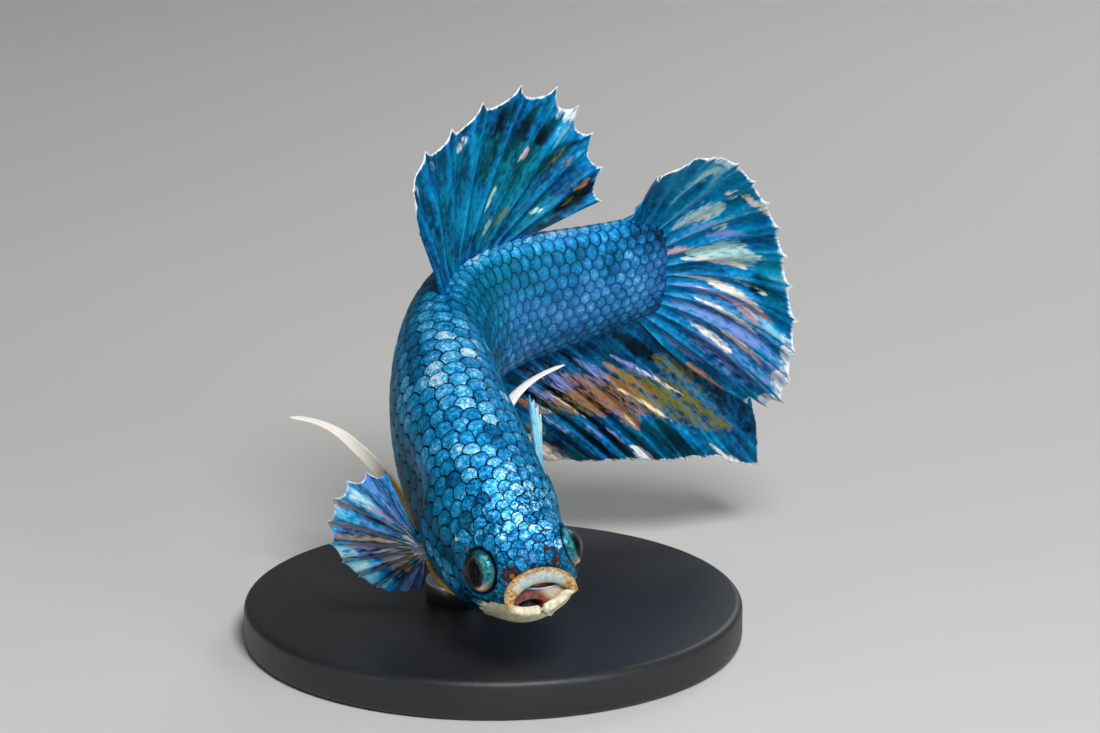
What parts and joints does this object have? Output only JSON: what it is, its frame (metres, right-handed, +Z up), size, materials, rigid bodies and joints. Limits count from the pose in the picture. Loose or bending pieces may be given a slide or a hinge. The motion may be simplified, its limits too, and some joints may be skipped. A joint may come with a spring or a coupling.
{
  "type": "betta fish",
  "caption": "Life-size still model of a short-finned betta fish turning as it swims, held by a rod on a round display stand.",
  "frame": {"origin": "centre of the underside of the round stand base", "axes": "+Z up; the fish swims towards -Y with its nose down, and its tail sweeps round towards +X, its own left"},
  "size_m": [0.0363, 0.0398, 0.0346],
  "materials": {
    "scaled_skin": "wet metallic blue scales, bright along the back",
    "pale_skin": "moist cream skin with blue specks",
    "lip_skin": "moist granular tan skin",
    "fin_membrane": "moist ribbed membrane, blue to teal with cream, gold and pink streaks and a white edge",
    "pale_fin": "moist cream-white fin with a yellow stem",
    "eye": "wet glossy cornea over a dark pupil and teal iris",
    "powder_coat": "satin black powder coat on steel",
    "brushed_steel": "fine brushed stainless steel"
  },
  "bodies": {
    "root": {"head": "scaled_skin", "lower_jaw": "pale_skin", "upper_lip": "lip_skin", "eye_left": "eye", "eye_right": "eye", "gill_cover_left": "scaled_skin", "gill_cover_right": "scaled_skin", "trunk_front": "scaled_skin", "trunk_middle": "scaled_skin", "trunk_rear": "scaled_skin", "tail_stalk": "scaled_skin", "dorsal_fin": "fin_membrane", "caudal_fin": "fin_membrane", "anal_fin": "fin_membrane", "pectoral_fin_left": "fin_membrane", "pectoral_fin_right": "fin_membrane", "pelvic_fin_left": "pale_fin", "pelvic_fin_right": "pale_fin", "stand_base": "powder_coat", "stand_collar": "brushed_steel", "stand_rod": "brushed_steel"}
  },
  "joints": []
}
